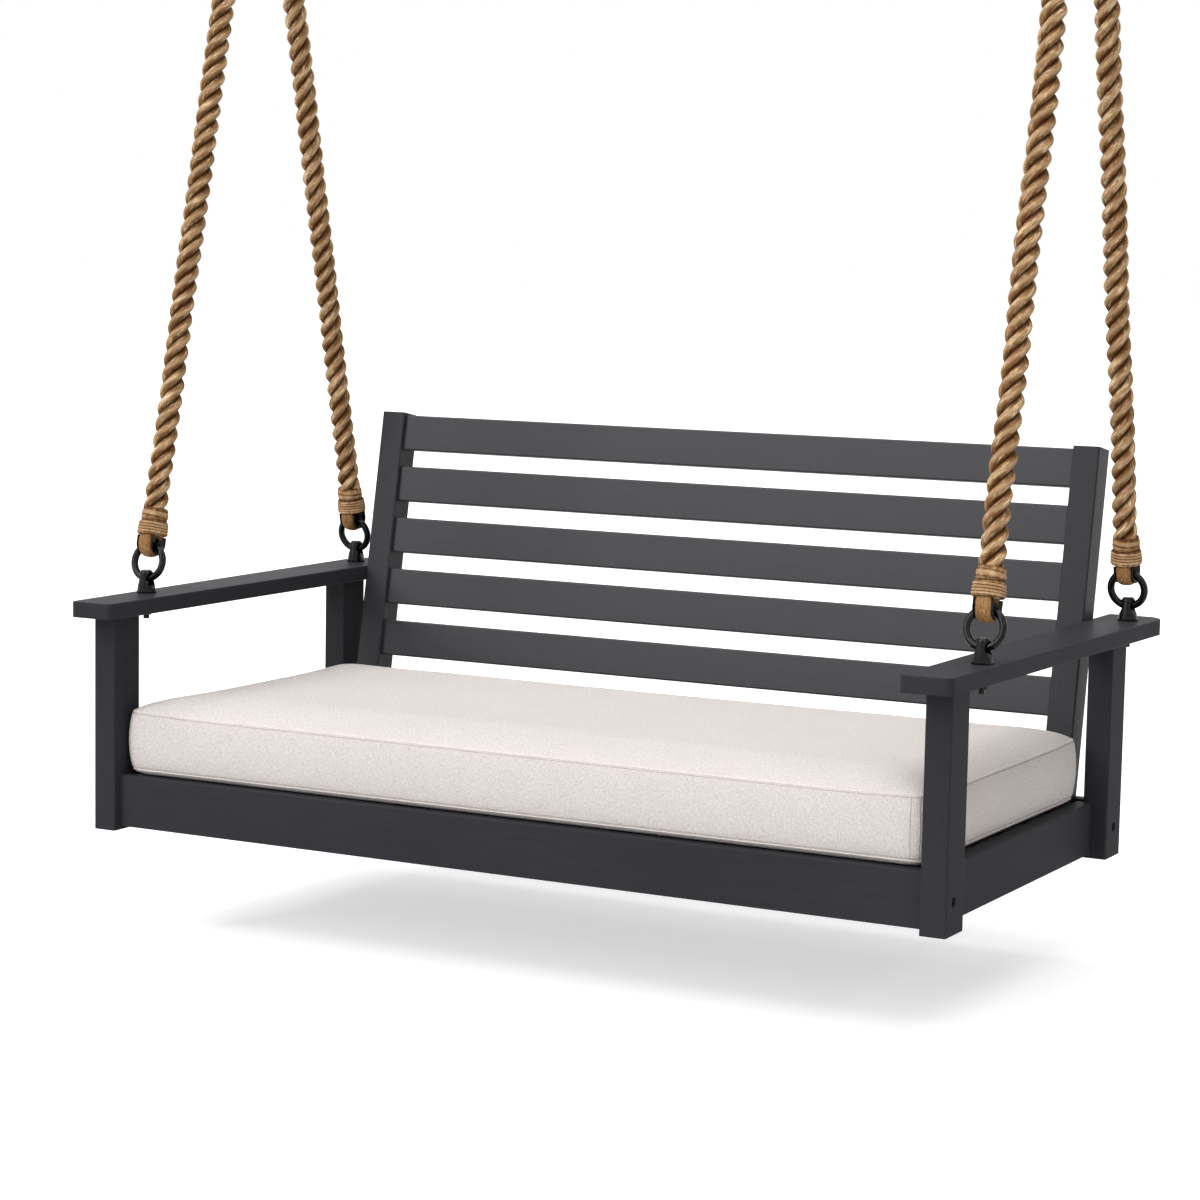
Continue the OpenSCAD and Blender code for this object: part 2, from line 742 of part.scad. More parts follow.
// Triangular link: an eye on the pin, two legs and a straight bar for the ropes
module hanger_link(side) {
    leg = norm([link_half, link_drop]);
    lean = atan(link_half / link_drop);
    color(iron) placed() translate([side * lug_x, hang_y, pin_z])
    difference() {
        union() {
            rotate([0, 90, 0]) cylinder(h = hub_l, r = hub_r, center = true);
            for (s = [-1, 1]) rotate([s * lean, 0, 0]) translate([0, 0, -leg]) cylinder(h = leg, r = bar_r);
            for (s = [-1, 1]) translate([0, s * link_half, -link_drop]) sphere(r = bar_r + 0.8);
            translate([0, -link_half, -link_drop]) rotate([-90, 0, 0]) cylinder(h = 2 * link_half, r = bar_r);
        }
        rotate([0, 90, 0]) cylinder(h = hub_l + 2, r = pin_r + 0.05, center = true);
    }
}

front_post(-1);  // front_left_post
front_post(1);  // front_right_post
rear_post(-1);  // rear_left_post
rear_post(1);  // rear_right_post
front_rail();
rear_rail();
side_rail(-1);  // left_side_rail
side_rail(1);  // right_side_rail
armrest(-1);  // left_armrest
armrest(1);  // right_armrest
stile(-1);  // left_stile
stile(1);  // right_stile
back_slat(1);  // back_slat_1
back_slat(2);  // back_slat_2
back_slat(3);  // back_slat_3
back_slat(4);  // back_slat_4
back_slat(5);  // back_slat_5
seat_slat(1);  // seat_slat_1
seat_slat(2);  // seat_slat_2
seat_slat(3);  // seat_slat_3
seat_slat(4);  // seat_slat_4
seat_slat(5);  // seat_slat_5
seat_slat(6);  // seat_slat_6
seat_bearer(-1);  // left_seat_bearer
seat_bearer(1);  // right_seat_bearer
seat_cleat(-1);  // left_seat_cleat
seat_cleat(1);  // right_seat_cleat
cushion();
lug(-1, 0);  // lug_front_left
lug(1, 0);  // lug_front_right
lug(-1, 1);  // lug_rear_left
lug(1, 1);  // lug_rear_right
lug_washers();
lug_nuts();
rail_bolts();
rail_barrel_nuts();
side_rail_dowels();
arm_dowels();
back_slat_dowels();
stile_screws();
arm_bolts();
seat_slat_screws();
cleat_screws();
rings(-1);  // rings_left
rings(1);  // rings_right
thimbles(-1);  // thimbles_left
thimbles(1);  // thimbles_right
whippings(-1);  // whippings_left
whippings(1);  // whippings_right
rope(-1, 0);  // rope_front_left
rope(1, 0);  // rope_front_right
rope(-1, 1);  // rope_rear_left
rope(1, 1);  // rope_rear_right
ceiling_bracket(-1);  // ceiling_bracket_left
ceiling_bracket(1);  // ceiling_bracket_right
hanger_pin(-1);  // hanger_pin_left
hanger_pin(1);  // hanger_pin_right
hanger_link(-1);  // hanger_link_left
hanger_link(1);  // hanger_link_right
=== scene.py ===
import json
import math
import bmesh
import bpy
import numpy as np
from mathutils import Matrix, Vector
from mathutils.bvhtree import BVHTree


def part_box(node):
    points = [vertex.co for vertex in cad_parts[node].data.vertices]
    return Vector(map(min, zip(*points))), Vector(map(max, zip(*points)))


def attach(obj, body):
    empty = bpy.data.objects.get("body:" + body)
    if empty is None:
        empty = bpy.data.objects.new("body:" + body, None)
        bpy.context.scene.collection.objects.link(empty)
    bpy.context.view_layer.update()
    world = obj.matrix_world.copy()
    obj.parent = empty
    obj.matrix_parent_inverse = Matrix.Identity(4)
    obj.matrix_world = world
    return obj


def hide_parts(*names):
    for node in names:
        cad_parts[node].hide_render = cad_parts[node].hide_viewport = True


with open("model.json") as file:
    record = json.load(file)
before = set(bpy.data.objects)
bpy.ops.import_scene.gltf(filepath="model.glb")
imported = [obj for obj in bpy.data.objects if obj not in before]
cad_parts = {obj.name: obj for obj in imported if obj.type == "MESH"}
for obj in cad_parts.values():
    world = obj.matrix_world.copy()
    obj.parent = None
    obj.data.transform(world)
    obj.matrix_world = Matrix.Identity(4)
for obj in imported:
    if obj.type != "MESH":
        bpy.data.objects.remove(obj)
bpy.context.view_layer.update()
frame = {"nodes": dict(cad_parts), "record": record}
scene = bpy.context.scene

# camera: the photograph's point of view, fitted to the bench's own corners
cameraView = {
    "place": (2.3539, -4.4909, -0.8780), "yaw": 0.4927, "pitch": -0.1146, "roll": 0.0186,
    "focalPixels": 3106.8, "photoPixels": 1200.0, "sensor": 36.0, "farthest": 200.0,
}


def addCamera(view):
    # the camera's axes come from a turn to the left, a tilt down and a small roll
    cy, sy = math.cos(view["yaw"]), math.sin(view["yaw"])
    cp, sp = math.cos(view["pitch"]), math.sin(view["pitch"])
    cr, sr = math.cos(view["roll"]), math.sin(view["roll"])
    ahead = np.array([-sy * cp, cy * cp, sp])
    level = np.array([cy, sy, 0.0])
    above = np.cross(level, ahead)
    right, up = cr * level + sr * above, cr * above - sr * level
    lens = bpy.data.cameras.new("photoView")
    lens.sensor_width = view["sensor"]
    lens.lens = view["focalPixels"] * view["sensor"] / view["photoPixels"]
    lens.clip_end = view["farthest"]
    camera = bpy.data.objects.new("photoView", lens)
    turn = Matrix([[*row] for row in np.stack([right, up, -ahead], axis=1)]).to_4x4()
    camera.matrix_world = Matrix.Translation(view["place"]) @ turn
    scene.collection.objects.link(camera)
    scene.camera = camera


addCamera(cameraView)

# mesh helpers
bodyOf = {node: body for body, nodes in frame["record"]["behaviour"]["bodies"].items() for node in nodes}
capShares = (0.03, 0.5)  # sizes of the two rings that close an end, against the end's own ring
edgeLook = {
    # merge and ease are in metres, and the angles in degrees
    "merge": 1e-5, "flatAngle": 0.6, "smoothAngle": 38.0, "bevelMore": 4, "segments": 2, "ease": 0.0014,
}


def addPiece(name, mesh, body, material, replaced):
    # a finished piece rides on one body and stands for CAD nodes, which it hides
    piece = bpy.data.objects.new(name, mesh)
    scene.collection.objects.link(piece)
    mesh.materials.clear()
    mesh.materials.append(material)
    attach(piece, body)
    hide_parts(*replaced)
    return piece


def gridCoordinates(u, v):
    # u and v for every point of a grid, each given as a row, a column or the whole grid
    return np.stack(np.broadcast_arrays(u, v), axis=2)


def gridMesh(name, points, uv):
    # rings of points joined by quads, round the columns; each end is closed by rings that shrink to its
    # middle. points is (rings, around, 3) and uv is (rings, around + 1, 2)
    ends = [points[0].mean(axis=0), points[-1].mean(axis=0)]
    caps = [[ends[k] + (points[-k] - ends[k]) * share for share in capShares] for k in (0, 1)]
    rings = np.concatenate([np.array(caps[0]), points, np.array(caps[1][::-1])])
    uv = np.concatenate([uv[:1], uv[:1], uv, uv[-1:], uv[-1:]])
    rows, cols = rings.shape[:2]
    r, c = (a.ravel() for a in np.meshgrid(np.arange(rows - 1), np.arange(cols), indexing="ij"))
    n = (c + 1) % cols
    quads = np.stack([r * cols + c, r * cols + n, (r + 1) * cols + n, (r + 1) * cols + c], axis=1)
    corners = np.stack([uv[r, c], uv[r, c + 1], uv[r + 1, c + 1], uv[r + 1, c]], axis=1)
    mesh = bpy.data.meshes.new(name)
    mesh.from_pydata(rings.reshape(-1, 3).tolist(), [], quads.tolist())
    mesh.uv_layers.new(name="UVMap").data.foreach_set("uv", corners.reshape(-1).astype(np.float32))
    closed = bmesh.new()
    closed.from_mesh(mesh)
    bmesh.ops.holes_fill(closed, edges=[e for e in closed.edges if e.is_boundary], sides=0)
    bmesh.ops.recalc_face_normals(closed, faces=closed.faces)
    closed.to_mesh(mesh)
    closed.free()
    mesh.polygons.foreach_set("use_smooth", [True] * len(mesh.polygons))
    return mesh


def dressed(node, material, ease=edgeLook["ease"], smoothAngle=edgeLook["smoothAngle"]):
    # a merged copy of the CAD node whose flat triangles are joined into faces; a bevel eases its corners
    mesh = frame["nodes"][node].data.copy()
    work = bmesh.new()
    work.from_mesh(mesh)
    bmesh.ops.remove_doubles(work, verts=work.verts, dist=edgeLook["merge"])
    flat = math.radians(edgeLook["flatAngle"])
    bmesh.ops.dissolve_limit(work, angle_limit=flat, verts=work.verts, edges=work.edges)
    for edge in work.edges:
        edge.smooth = len(edge.link_faces) == 2 and edge.calc_face_angle(0.0) < math.radians(smoothAngle)
    for face in work.faces:
        face.smooth = True
    work.to_mesh(mesh)
    work.free()
    first, *rest = node.split("_")
    name = first + "".join(part.capitalize() for part in rest)
    piece = addPiece(name, mesh, bodyOf[node], material, [node])
    if ease:
        bevel = piece.modifiers.new("Ease", "BEVEL")
        bevel.width, bevel.segments, bevel.limit_method = ease, edgeLook["segments"], "ANGLE"
        bevel.angle_limit = math.radians(smoothAngle + edgeLook["bevelMore"])
        bevel.harden_normals = False
        bevel.use_clamp_overlap = True
    even = piece.modifiers.new("EvenShade", "WEIGHTED_NORMAL")
    even.keep_sharp = True


# shader maths
class Wave:
    # a socket with arithmetic: each operation adds one node to its owner's tree
    def __init__(self, owner, socket):
        self.owner, self.socket = owner, socket

    def maths(self, operation, *values):
        made = self.owner.node("ShaderNodeMath", {"operation": operation}, dict(enumerate(values)))
        return Wave(self.owner, made)

    def __add__(self, other):
        return self.maths("ADD", self, other)

    def __sub__(self, other):
        return self.maths("SUBTRACT", self, other)

    def __rsub__(self, other):
        return self.maths("SUBTRACT", other, self)

    def __mul__(self, other):
        return self.maths("MULTIPLY", self, other)

    def __abs__(self):
        return self.maths("ABSOLUTE", self)

    __radd__, __rmul__ = __add__, __mul__

    def sine(self):
        return self.maths("SINE", self)

    def part(self):
        return self.maths("FRACT", self)

    def largest(self, other):
        return self.maths("MAXIMUM", self, other)

    def ease(self, low, high):
        # 0 below low and 1 above high, with a smooth step between them
        values = {0: self, 1: low, 2: high, 3: 0.0, 4: 1.0}
        made = self.owner.node("ShaderNodeMapRange", {"interpolation_type": "SMOOTHSTEP"}, values)
        return Wave(self.owner, made)


def weighed(waves, shares):
    # the sum of each wave times its share
    total = waves[0] * shares[0]
    for wave, share in zip(waves[1:], shares[1:]):
        total = total + wave * share
    return total


class NodeTree:
    # a shader tree, and the one way in which its nodes are made
    def __init__(self, tree):
        self.tree = tree

    def node(self, kind, settings, values, output=0):
        made = self.tree.nodes.new(kind)
        for key, value in settings.items():
            if key == "stops":
                for _ in range(len(value) - 2):
                    made.color_ramp.elements.new(0.5)
                for element, (place, colour) in zip(made.color_ramp.elements, value):
                    element.position, element.color = place, (*colour, 1.0)
            else:
                setattr(made, key, value)
        for key, value in values.items():
            value = value.socket if isinstance(value, Wave) else value
            if isinstance(value, bpy.types.NodeSocket):
                self.tree.links.new(value, made.inputs[key])
            else:
                made.inputs[key].default_value = value
        return made.outputs[output]

    def rays(self, *names):
        # for each kind of ray, 1 where such a ray arrives and 0 where another kind does
        path = self.node("ShaderNodeLightPath", {}, {}).node
        return [Wave(self, path.outputs[f"Is {name} Ray"]) for name in names]


class Finish(NodeTree):
    # one material; fixed holds the values that stay the same all over it
    def __init__(self, name, fixed):
        self.material = bpy.data.materials.new(name)
        self.material.use_nodes = True
        super().__init__(self.material.node_tree)
        self.shader = self.tree.nodes["Principled BSDF"]
        for socket, value in fixed.items():
            self.shader.inputs[socket].default_value = value

    def place(self, kind="Object", scale=(1, 1, 1), turn=(0, 0, 0)):
        # coordinates on the piece or its UV map, turned and stretched
        source = self.node("ShaderNodeTexCoord", {}, {}, kind)
        return self.node("ShaderNodeMapping", {}, {"Vector": source, "Rotation": turn, "Scale": scale})

    def axes(self, vector):
        cut = self.node("ShaderNodeSeparateXYZ", {}, {0: vector}).node
        return [Wave(self, cut.outputs[k]) for k in range(3)]

    def joined(self, x, y):
        return self.node("ShaderNodeCombineXYZ", {}, {0: x, 1: y, 2: 0.0})

    def noise(self, vector, scale, detail=3.0, roughness=0.5, distortion=0.0):
        values = {"Vector": vector, "Scale": scale, "Detail": detail,
                  "Roughness": roughness, "Distortion": distortion}
        return Wave(self, self.node("ShaderNodeTexNoise", {}, values))

    def ramp(self, value, stops):
        return self.node("ShaderNodeValToRGB", {"stops": stops}, {0: value})

    def blend(self, share, first, second):
        # the first colour where share is 0 and the second where it is 1
        return self.node("ShaderNodeMix", {"data_type": "RGBA"}, {0: share, 6: first, 7: second}, 2)

    def attribute(self, name):
        return Wave(self, self.node("ShaderNodeAttribute", {"attribute_name": name}, {}, "Fac"))

    def feed(self, links, height=None, distance=0.001, strength=1.0):
        # joins waves and colours to the shader, and the height to its normal through a bump
        for socket, value in links.items():
            value = value.socket if isinstance(value, Wave) else value
            self.tree.links.new(value, self.shader.inputs[socket])
        if height is not None:
            values = {"Strength": strength, "Distance": distance, "Height": height}
            self.tree.links.new(self.node("ShaderNodeBump", {}, values), self.shader.inputs["Normal"])
        return self.material


# finishes: a noise is given by its scale, detail, roughness and distortion, an ease by where it begins and
# where it ends, and a bump by its depth in metres and its strength
paintLook = {
    "colour": (0.0335, 0.0335, 0.0378), "paler": (0.0395, 0.0395, 0.0445),
    "grain": (5.0, 5.0, 0.6, 0.4), "fine": (26.0, 2.0, 0.5), "cloud": (3.1, 3.0),
    "brushed": (420.0, 2.0, 0.6), "toneShares": (0.6, 0.4), "toneEase": (0.35, 0.68),
    "roughness": 0.40, "roughCloud": 0.10, "roughFine": 0.07,
    "heightShares": (0.55, 0.3, 0.12), "bump": (0.00012, 0.5),
}
paintGloss = {"frame": 0.015, "stile": 0.12, "slat": 0.26}
paintStretch = {"x": (1.6, 34, 34), "y": (34, 1.6, 34), "z": (34, 34, 1.6)}
stileLean = 10.2  # degrees by which the uprights of the back lean


def paintedWood(name, along, gloss, tilt=0.0):
    # satin paint over planed wood: the grain is noise drawn out along the piece, and it only dents the
    # paint a little
    look = paintLook
    f = Finish(name, {"Specular IOR Level": paintGloss[gloss]})
    spot = f.place(scale=paintStretch[along], turn=(tilt, 0, 0))
    grain, fine = f.noise(spot, *look["grain"]), f.noise(spot, *look["fine"])
    cloud, brushed = f.noise(f.place(), *look["cloud"]), f.noise(f.place(), *look["brushed"])
    share = weighed((cloud, grain), look["toneShares"]).ease(*look["toneEase"])
    tone = f.blend(share, (*look["colour"], 1), (*look["paler"], 1))
    rough = look["roughness"] + (cloud - 0.5) * look["roughCloud"] + (fine - 0.5) * look["roughFine"]
    height = weighed((grain, fine, brushed), look["heightShares"])
    return f.feed({"Base Color": tone, "Roughness": rough}, height, *look["bump"])


metalLook = {
    "colour": (0.0025, 0.0025, 0.0028), "worn": (0.0060, 0.0059, 0.0057), "wornShare": 0.6,
    "pebble": (900.0, 2.0, 0.5), "rubbed": (46.0, 4.0, 0.6), "rubbedEase": (0.52, 0.72), "specular": 0.24,
    "roughness": 0.17, "roughPebble": 0.06, "roughRubbed": 0.08, "bump": (0.0001, 0.15),
}


def blackMetal(name):
    # forged iron under satin black powder coat: fine pebbling, and slightly paler rubbed patches
    look = metalLook
    f = Finish(name, {"Specular IOR Level": look["specular"]})
    pebble = f.noise(f.place(), *look["pebble"])
    rubbed = f.noise(f.place(), *look["rubbed"]).ease(*look["rubbedEase"])
    tone = f.blend(rubbed * look["wornShare"], (*look["colour"], 1), (*look["worn"], 1))
    rough = look["roughness"] + pebble * look["roughPebble"] + rubbed * look["roughRubbed"]
    return f.feed({"Base Color": tone, "Roughness": rough}, pebble, *look["bump"])


zincLook = {
    "darker": (0.38, 0.38, 0.39, 1), "lighter": (0.52, 0.52, 0.54, 1), "mottle": (160.0, 3.0, 0.6),
    "roughness": 0.28, "roughMottle": 0.2, "bump": (0.00005, 0.3),
}


def zincSteel(name):
    # zinc plate: dull grey metal with a faint crystal mottle
    look = zincLook
    f = Finish(name, {"Metallic": 1.0})
    mottle = f.noise(f.place(), *look["mottle"])
    tone = f.blend(mottle, look["darker"], look["lighter"])
    rough = look["roughness"] + mottle * look["roughMottle"]
    return f.feed({"Base Color": tone, "Roughness": rough}, mottle, *look["bump"])


dowelLook = {
    "stops": [(0.3, (0.38, 0.25, 0.13)), (0.7, (0.60, 0.44, 0.27))], "stretch": (4, 60, 60),
    "grain": (8.0, 4.0, 0.6), "roughness": 0.65, "bump": (0.0002, 0.4),
}


def bareDowel(name):
    # bare wood: a grain of two tones, drawn out along x
    look = dowelLook
    f = Finish(name, {"Roughness": look["roughness"]})
    grain = f.noise(f.place(scale=look["stretch"]), *look["grain"])
    return f.feed({"Base Color": f.ramp(grain, look["stops"])}, grain, *look["bump"])


fibreLook = {
    "dark": (0.125, 0.054, 0.018), "tan": (0.275, 0.138, 0.053), "light": (0.970, 0.745, 0.505),
    # next: a dark brown that is painted shade for the grooves, then how much of that painted shade and of a
    # painted highlight on the crowns is blended in (on a loop both follow random patches of its own tone)
    "groove": (0.060, 0.022, 0.005), "grooveShare": 0.90, "crownHighlightAndPatchShare": 0.28, "fineNoise": (1.0, 3.0, 0.6),
    "blotch": (24.0, 3.0), "fibreShares": (0.55, 0.30, 0.25), "roughness": 0.62, "roughFine": 0.25,
    "specular": 0.12,
}
# streaks and fine hold the shares of u and v in their two coordinates, and yarns those in its one wave;
# stops are where dark, tan and light stand
fibreKinds = {
    "rope": {
        "warmth": (1.0, 0.97, 0.88), "streaks": ((5.5, 6.0), (0, 4.0)), "fine": ((17.6, 19.2), (0, 12.0)),
        "yarns": (8.25, 9.0), "streakNoise": (1.0, 4.0, 0.66, 0.3), "stops": (0.42, 0.55, 0.70),
        "grooveEase": (0.50, 0.98), "crownEase": (0.0, 0.60),
        "heightShares": (0.9, 0.5, 0.55), "bump": (0.0016, 0.9),
    },
    "loop": {
        "warmth": (0.92, 0.80, 0.62), "streaks": ((46.0, 0), (0, 7.0)), "fine": ((180.0, 0), (0, 18.0)),
        "yarns": (56.0, 8.0), "streakNoise": (1.0, 4.0, 0.6, 0.3), "stops": (0.36, 0.55, 0.82),
        "patch": (60.0, 2.0), "patchLess": 0.4, "grooveEase": (0.1, 0.4), "grooveMost": 0.4,
        "crownMost": 0.25, "heightShares": (0.6, 0.35, 0.2), "bump": (0.0011, 0.6),
    },
    "twine": {
        "warmth": (0.96, 0.90, 0.80), "streaks": ((14.0, 0), (0, 90.0)), "fine": ((40.0, 0), (0, 330.0)),
        "yarns": (3.0, 150.0), "streakNoise": (1.0, 4.0, 0.6, 0.3), "stops": (0.36, 0.55, 0.82),
        "grooveEase": (0.0, 0.78), "crownEase": (0.55, 1.0),
        "heightShares": (0.6, 0.4, 0.3), "bump": (0.0009, 0.6),
    },
}


def strandRelief(f, kind, u):
    # how deep a spot lies in the grooves, and how near it is to a crown, both from 0 to 1. They carry the
    # painted shade in the grooves and the painted highlight on the crowns of rope and twine
    own = fibreKinds[kind]
    if kind == "rope":
        depth = abs(u.part() * 2.0 - 1.0)  # 1 where two strands meet and 0 on a strand's crown
        return depth.ease(*own["grooveEase"]), 1.0 - depth.ease(*own["crownEase"])
    if kind == "loop":
        # a loop has no grooves: its darker and paler patches are random, its own tone and not shade
        patch = f.noise(f.place(), *own["patch"]) - own["patchLess"]
        groove = patch.ease(*own["grooveEase"]) * own["grooveMost"]
        return groove, own["crownMost"] - groove * own["crownMost"]
    # twine: painted shade between the turns and a painted highlight on their crowns, from the swell of the
    # winding
    groove = 1.0 - f.attribute("crown").ease(*own["grooveEase"])
    return groove, f.attribute("crown").ease(*own["crownEase"])


def manila(name, kind):
    # hard hemp fibre: long streaks along the yarns, with painted shade down in the grooves and a painted
    # highlight on the crowns. On the rope u counts strands and v lays; on a loop or a whipping u goes round
    # and v along
    look, own = fibreLook, fibreKinds[kind]
    f = Finish(name, {"Specular IOR Level": look["specular"]})
    u, v, _ = f.axes(f.place("UV"))

    def spot(shares):
        return f.joined(*[weighed((u, v), share) for share in shares])

    streaks = f.noise(spot(own["streaks"]), *own["streakNoise"])
    fine = f.noise(spot(own["fine"]), *look["fineNoise"])
    yarns = abs(weighed((u, v), own["yarns"]).sine())
    blotch = f.noise(f.place(), *look["blotch"])
    groove, crown = strandRelief(f, kind, u)
    tones = [[c * w for c, w in zip(look[tone], own["warmth"])] for tone in ("dark", "tan", "light")]
    fibre = weighed((streaks, fine, blotch), look["fibreShares"])
    tone = f.ramp(fibre, list(zip(own["stops"], tones)))
    # painted highlight on the crowns and painted shade in the grooves of rope and twine; on a loop the two
    # blends follow random patches, its own tone
    tone = f.blend(crown * look["crownHighlightAndPatchShare"], tone, (*tones[2], 1))
    tone = f.blend(groove * look["grooveShare"], tone, (*look["groove"], 1))
    rough = look["roughness"] + fine * look["roughFine"]
    height = weighed((streaks, fine, yarns), own["heightShares"])
    return f.feed({"Base Color": tone, "Roughness": rough}, height, *own["bump"])


linenLook = {
    "pale": (0.985, 0.928, 0.898), "deep": (0.555, 0.487, 0.454), "stitch": (0.46, 0.40, 0.36),
    "thread": 0.0021, "wobble": (70.0, 3.0), "warpWobble": 2.4, "weftMore": 1.3,
    "slub": (1.0, 3.0, 0.65), "slubEase": (0.36, 0.66), "slubAlong": 190.0, "slubAcross": 640.0,
    "fleck": (620.0, 3.0, 0.7), "fleckEase": (0.36, 0.60), "cloud": (9.0, 2.0), "cloudEase": (0.3, 0.7),
    "shadeShares": (0.22, 0.30, 0.26, 0.42, 0.03), "shadeLess": 0.05, "heightShares": (0.7, 0.4, 0.4, 0.5),
    "roughness": 0.92, "specular": 0.15, "depth": 0.0010, "clothStrength": 0.8, "seamStrength": 0.35,
    "ply": (900.0, 2.0), "plyRoughness": 0.8, "plySpecular": 0.1,
}


def linen(name, strength):
    # plain weave: warp and weft pass over each other in turn, with thick and thin places along both, and
    # darker fibres here and there; u and v are metres on the cloth
    look = linenLook
    f = Finish(name, {"Roughness": look["roughness"], "Specular IOR Level": look["specular"]})
    u, v, _ = f.axes(f.place("UV"))
    turn = math.pi / look["thread"]
    wobble = f.noise(f.place(), *look["wobble"]) * look["warpWobble"]
    warp = (u * turn + wobble).sine()
    weft = (v * turn + wobble * look["weftMore"]).sine()
    over = warp * weft
    threads = abs(warp) * (0.5 + over * 0.5) + abs(weft) * (0.5 - over * 0.5)

    def slub(scaleU, scaleV):
        return f.noise(f.joined(u * scaleU, v * scaleV), *look["slub"]).ease(*look["slubEase"])

    slubU, slubV = slub(look["slubAlong"], look["slubAcross"]), slub(look["slubAcross"], look["slubAlong"])
    fleck = f.noise(f.place(), *look["fleck"]).ease(*look["fleckEase"])
    cloud = f.noise(f.place(), *look["cloud"]).ease(*look["cloudEase"])
    shade = weighed((slubU, slubV, fleck, threads, cloud), look["shadeShares"]) - look["shadeLess"]
    tone = f.blend(shade, (*look["deep"], 1), (*look["pale"], 1))
    height = weighed((threads, slubU, slubV, fleck), look["heightShares"])
    return f.feed({"Base Color": tone}, height, look["depth"], strength)


def stitchThread(name):
    # sewing thread: two tones mixed by a fine noise
    look = linenLook
    f = Finish(name, {"Roughness": look["plyRoughness"], "Specular IOR Level": look["plySpecular"]})
    ply = f.noise(f.place(), *look["ply"])
    return f.feed({"Base Color": f.blend(ply, (*look["stitch"], 1), (*look["deep"], 1))})


finishes = {
    "x": paintedWood("paintAlongX", "x", "frame"),
    "y": paintedWood("paintAlongY", "y", "frame"),
    "z": paintedWood("paintAlongZ", "z", "frame"),
    "slat": paintedWood("paintBackSlat", "x", "slat"),
    "slope": paintedWood("paintAlongSlope", "z", "stile", math.radians(stileLean)),
    "metal": blackMetal("blackIron"),
    "zinc": zincSteel("zincPlate"),
    "dowel": bareDowel("beechDowel"),
    "rope": manila("manilaRope", "rope"),
    "loop": manila("manilaLoop", "loop"),
    "twine": manila("manilaTwine", "twine"),
    "linen": linen("linenWeave", linenLook["clothStrength"]),
    "welt": linen("linenSeam", linenLook["seamStrength"]),
    "stitch": stitchThread("linenStitch"),
}
print("finishes made", len(finishes))

# ropes: three strands laid up together, a spliced loop at each end, and twine over the splice
hangPoints = {
    "lugX": 0.742, "eyeY": 0.321, "eyeZ": -1.447, "barY": 0.026, "barZ": -0.114,
    "loopUp": 0.05875, "loopTop": 0.0028,  # from the eye and from the link's bar to where a loop turns
}
ropeLook = {
    "diameter": 0.040, "lay": 0.083, "strands": 3, "strandOut": 0.0097, "strandRadius": 0.0103,
    "perStrand": 24, "steps": 520, "throat": 0.013, "pathPoints": 24,
    # waves in a strand's thickness: how much, how fast along the rope, and the shift between strands
    "slow": (0.018, 61, 2.1), "quick": (0.012, 143, 1.3),
    # how far a rope strays, and how fast; how far it starts turned, for its side and its place in the pair
    "wander": (0.0007, 17), "startTurn": (0.7, 0.4),
}


def ropeFrame(side, back):
    # origin at the lug's eye; the axes run across, square to the rope, and up along it
    foot = np.array([side * hangPoints["lugX"], back * hangPoints["eyeY"], hangPoints["eyeZ"]])
    top = np.array([side * hangPoints["lugX"], back * hangPoints["barY"], hangPoints["barZ"]])
    along = (top - foot) / np.linalg.norm(top - foot)
    square = np.array([0, along[2], -along[1]])
    return foot, np.array([1.0, 0, 0]), square, along, float(np.linalg.norm(top - foot))


def loopFrame(side, back, upper):
    # where a loop turns: across its thimble, in its plane, and away from it along the rope
    foot, across, square, along, span = ropeFrame(side, back)
    if upper:
        return foot + along * (span - hangPoints["loopTop"]), square, across, -along
    return foot + along * hangPoints["loopUp"], across, square, along


def laidRope(name, side, back):
    # each strand's face is an arc of a circle set off the axis; the arcs turn about the axis once in every
    # lay, and each strand grows a little thicker and thinner by two sines along its way
    look = ropeLook
    foot, across, square, along, span = ropeFrame(side, back)
    start = hangPoints["loopUp"] + look["throat"]
    end = span - hangPoints["loopTop"] - look["throat"]
    out, radius = look["strandOut"], look["strandRadius"]
    meet = out / 2 + math.sqrt(radius ** 2 - 0.75 * out ** 2)  # how far from the axis two strands touch
    reach = math.atan2(meet * math.sqrt(3) / 2, meet / 2 - out)
    psi = np.linspace(-reach, reach, look["perStrand"], endpoint=False)
    x, y = out + radius * np.cos(psi), radius * np.sin(psi)
    strand = np.repeat(np.arange(look["strands"]), len(psi))
    away = np.tile(np.hypot(x, y), look["strands"])
    turn = np.tile(np.arctan2(y, x), look["strands"]) + strand * 2 * math.pi / look["strands"]
    s = np.linspace(start, end, look["steps"])[:, None]

    def swell(kind, own):
        much, pace, shift = look[kind]
        return much * np.sin(s * pace + strand * shift + own)

    thick = away[None, :] * (1 + swell("slow", side) + swell("quick", back * 2))
    turnSide, turnBack = look["startTurn"]
    angle = turn[None, :] + 2 * math.pi * s / look["lay"] + side * turnSide + back * turnBack
    stray, pace = look["wander"]
    wander = stray * np.sin(s * pace + side * 2 + back)
    sideways = (thick * np.cos(angle) + wander)[..., None] * across
    points = foot + s[..., None] * along + sideways + (thick * np.sin(angle))[..., None] * square
    share = np.tile((psi + reach) / (2 * reach), look["strands"])
    u = np.concatenate([strand + share, [float(look["strands"])]])
    path = [(foot + along * t).tolist() for t in np.linspace(start, end, look["pathPoints"])]
    return gridMesh(name, points, gridCoordinates(u, s / look["lay"])), path, end - start


loopLook = {
    "bend": 0.017, "wide": 0.0122, "thin": 0.0062, "steps": 72, "around": 28, "legLength": 0.030,
    "bendShare": 0.42,  # the part of the half length, from the middle, that the bend takes
    "closing": 0.55, "closingPower": 1.6, "swell": 0.035, "twist": 5.0, "squareness": 0.8, "uvLength": 1.6,
}


